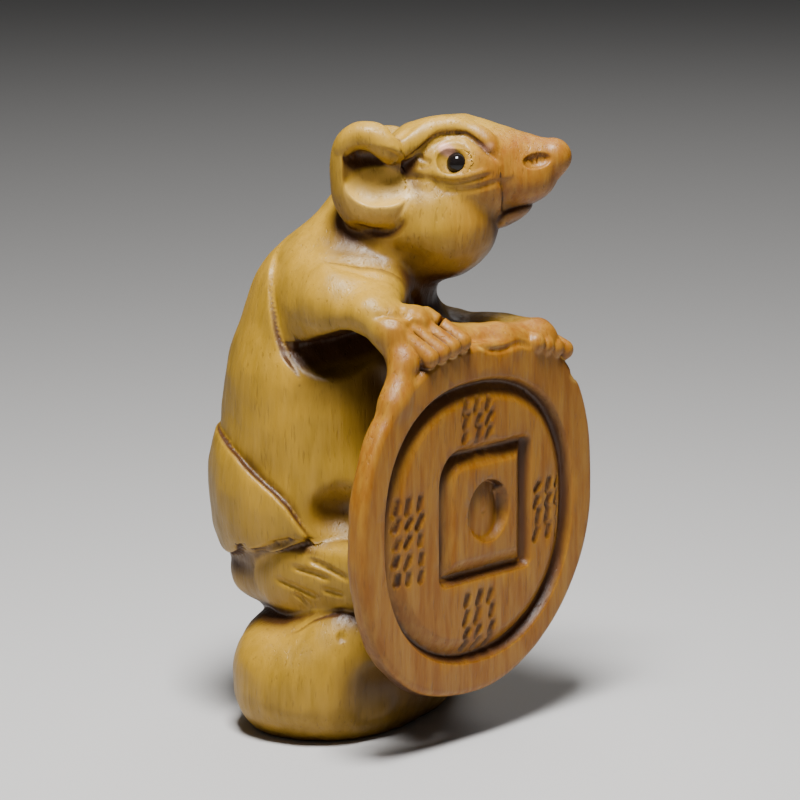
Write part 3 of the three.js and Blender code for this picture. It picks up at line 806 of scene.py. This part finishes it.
class Wiring:
    """Adds nodes to a tree and joins them, one call a node."""

    def __init__(self, tree):
        self.tree = tree

    def add(self, kind, inputs=(), **settings):
        node = self.tree.nodes.new(kind)
        for name, value in settings.items():
            setattr(node, name, value)
        for name, value in dict(inputs).items():
            target = node.inputs[name]
            if isinstance(value, bpy.types.NodeSocket):
                self.tree.links.new(value, target)
            else:
                target.default_value = value
        return node

    def maths(self, operation, a, b=0.0, clamp=False):
        return self.add("ShaderNodeMath", {0: a, 1: b}, operation=operation, use_clamp=clamp).outputs[0]

    def mix(self, factor, a, b, blend_type="MIX"):
        node = self.add("ShaderNodeMix", {"Factor": factor}, data_type="RGBA", blend_type=blend_type)
        for socket, value in ((node.inputs[6], a), (node.inputs[7], b)):
            if isinstance(value, bpy.types.NodeSocket):
                self.tree.links.new(value, socket)
            else:
                socket.default_value = value
        return node.outputs[2]

    def attribute(self, name):
        return self.add("ShaderNodeAttribute", attribute_name=name).outputs["Fac"]

    def spread(self, value, low, high, to_low=0.0, to_high=1.0):
        node = self.add("ShaderNodeMapRange", {"Value": value, "From Min": low, "From Max": high,
                                               "To Min": to_low, "To Max": to_high})
        return node.outputs[0]


def grain_group():
    """Fine upright grain: streaks, pores and slow bands of colour."""
    tree = bpy.data.node_groups.new("wood_grain", "ShaderNodeTree")
    socket_of(tree, "Place", "NodeSocketVector")
    socket_of(tree, "Stretch", "NodeSocketFloat", value=7.0)
    for name in ("Streaks", "Pores", "Bands"):
        socket_of(tree, name, "NodeSocketFloat", "OUTPUT")
    w = Wiring(tree)
    ins = w.add("NodeGroupInput").outputs
    outs = w.add("NodeGroupOutput")
    squash = w.maths("DIVIDE", 1.0, ins["Stretch"])
    scale = w.add("ShaderNodeCombineXYZ", {"X": 1.0, "Y": 1.0, "Z": squash}).outputs[0]
    long_way = w.add("ShaderNodeVectorMath", {0: ins["Place"], 1: scale}, operation="MULTIPLY").outputs[0]
    streaks = w.add("ShaderNodeTexNoise",
                    {"Vector": long_way, "Scale": 1500.0, "Detail": 5.0, "Roughness": 0.6})
    bands = w.add("ShaderNodeTexNoise", {"Vector": long_way, "Scale": 220.0, "Detail": 2.0})
    specks = w.add("ShaderNodeTexNoise", {"Vector": long_way, "Scale": 4200.0, "Detail": 2.0})
    tree.links.new(w.spread(streaks.outputs["Fac"], 0.35, 0.68), outs.inputs["Streaks"])
    tree.links.new(w.spread(specks.outputs["Fac"], 0.6, 0.72), outs.inputs["Pores"])
    tree.links.new(w.spread(bands.outputs["Fac"], 0.3, 0.7), outs.inputs["Bands"])
    return tree


def boxwood():
    """Polished boxwood: painted shade and patina in hollows and cuts, wear and painted highlights on edges.
    """
    material = bpy.data.materials.new("polished_boxwood")
    material.use_nodes = True
    tree = material.node_tree
    shader = tree.nodes["Principled BSDF"]
    w = Wiring(tree)
    place = w.add("ShaderNodeTexCoord").outputs["Object"]
    node = tree.nodes.new("ShaderNodeGroup")
    node.node_tree = grain_group()
    tree.links.new(place, node.inputs["Place"])
    streaks, pores, bands = (node.outputs[n] for n in ("Streaks", "Pores", "Bands"))
    colour = w.mix(bands, OLIVE, HONEY)
    towards_coin = w.add("ShaderNodeSeparateXYZ", {"Vector": place}).outputs["Y"]
    # darker orange towards the coin: its patina, and painted shade on its face
    colour = w.mix(w.spread(towards_coin, ORANGE_FROM, ORANGE_TO), colour, COIN_ORANGE_AND_SHADE)
    colour = w.mix(w.maths("MULTIPLY", streaks, 0.3), colour, PALE_STREAK)
    # pale wear on thin edges, and painted highlights on the ear's floor and the coin's rim
    colour = w.mix(w.spread(w.attribute("stands"), 0.5, 0.85, 0.0, 0.5), colour, WORN_AND_HIGHLIT)
    colour = w.mix(w.maths("MULTIPLY", pores, 0.25), colour, BROWN)
    for name, low, high, most in (("shade_from_above", 0.38, 0.85, 0.95), ("recess_shade_and_patina", 0.32, 0.7, 0.85),
                                  ("score", 0.45, 1.0, 0.6)):  # painted shade: from above, in hollows with their dark patina, and in scored lines
        colour = w.mix(w.spread(w.attribute(name), low, high, 0.0, most), colour, BROWN)
    # painted highlight on the upper lids and the brow's front
    colour = w.mix(w.maths("MULTIPLY", w.attribute("lid_highlight"), 0.85), colour, LID_HIGHLIGHT_PINK)
    tree.links.new(colour, shader.inputs["Base Color"])
    rough = w.spread(streaks, 0.0, 1.0, 0.50, 0.38)
    shader.inputs["Specular IOR Level"].default_value = 0.35
    tree.links.new(rough, shader.inputs["Roughness"])
    height = w.maths("ADD", w.maths("MULTIPLY", streaks, 0.6), w.maths("MULTIPLY", pores, -0.6))
    bump = w.add("ShaderNodeBump", {"Height": height, "Strength": 0.45, "Distance": 0.00009})
    tree.links.new(bump.outputs[0], shader.inputs["Normal"])
    return material


def polished_black():
    material = bpy.data.materials.new("polished_black")
    material.use_nodes = True
    tree = material.node_tree
    shader = tree.nodes["Principled BSDF"]
    w = Wiring(tree)
    place = w.add("ShaderNodeTexCoord").outputs["Object"]
    cloud = w.add("ShaderNodeTexNoise", {"Vector": place, "Scale": 900.0}).outputs["Fac"]
    tree.links.new(w.mix(cloud, BEAD_DARK, BEAD_LIGHT), shader.inputs["Base Color"])
    tree.links.new(w.spread(cloud, 0.3, 0.7, 0.05, 0.12), shader.inputs["Roughness"])
    shader.inputs["Specular IOR Level"].default_value = 0.3
    return material


def dress(piece, material):
    piece.data.materials.clear()
    piece.data.materials.append(material)


# ---- floor, lights and camera ----
def floor():
    bm = bmesh.new()
    bmesh.ops.create_grid(bm, x_segments=1, y_segments=1, size=1.5)
    mesh = bpy.data.meshes.new("floor")
    bm.to_mesh(mesh)
    bm.free()
    plain = bpy.data.materials.new("pale_floor")
    plain.use_nodes = True
    shader = plain.node_tree.nodes["Principled BSDF"]
    shader.inputs["Base Color"].default_value = FLOOR_GREY
    shader.inputs["Roughness"].default_value = 0.9
    ground = bpy.data.objects.new("floor", mesh)
    bpy.context.scene.collection.objects.link(ground)
    dress(ground, plain)


def direction(azimuth, elevation):
    """Towards an azimuth, counted from -Y towards +X, and an elevation, in degrees."""
    a, e = math.radians(azimuth), math.radians(elevation)
    return Vector((math.sin(a) * math.cos(e), -math.cos(a) * math.cos(e), math.sin(e)))


def camera():
    lens = bpy.data.cameras.new("camera")
    lens.lens, lens.sensor_width = FOCAL_LENGTH, SENSOR_WIDTH
    lens.clip_start, lens.clip_end = 0.01, 20
    eye = bpy.data.objects.new("camera", lens)
    bpy.context.scene.collection.objects.link(eye)
    back = direction(VIEW_AZIMUTH, VIEW_ELEVATION)
    eye.location = LOOK_AT + back * VIEW_DISTANCE
    eye.rotation_euler = (-back).to_track_quat("-Z", "Y").to_euler()
    bpy.context.scene.camera = eye


def soft_light(name, azimuth, elevation, distance, size, power):
    panel = bpy.data.lights.new(name, "AREA")
    panel.size, panel.energy = size, power
    lamp = bpy.data.objects.new(name, panel)
    bpy.context.scene.collection.objects.link(lamp)
    out = direction(azimuth, elevation)
    lamp.location = Vector((0, 0, 0.027)) + out * distance
    lamp.rotation_euler = (-out).to_track_quat("-Z", "Y").to_euler()


def lights():
    for name, settings in LIGHTS.items():
        soft_light(name, *settings)
    world = bpy.data.worlds.new("studio")
    world.use_nodes = True
    world.node_tree.nodes["Background"].inputs["Color"].default_value = (1, 1, 1, 1)
    world.node_tree.nodes["Background"].inputs["Strength"].default_value = SKY_STRENGTH
    bpy.context.scene.world = world


camera()
floor()
lights()
dress(carved_block(), boxwood())
black = polished_black()
for side in ("right", "left"):
    dress(bead("bead_" + side, "eye_" + side), black)
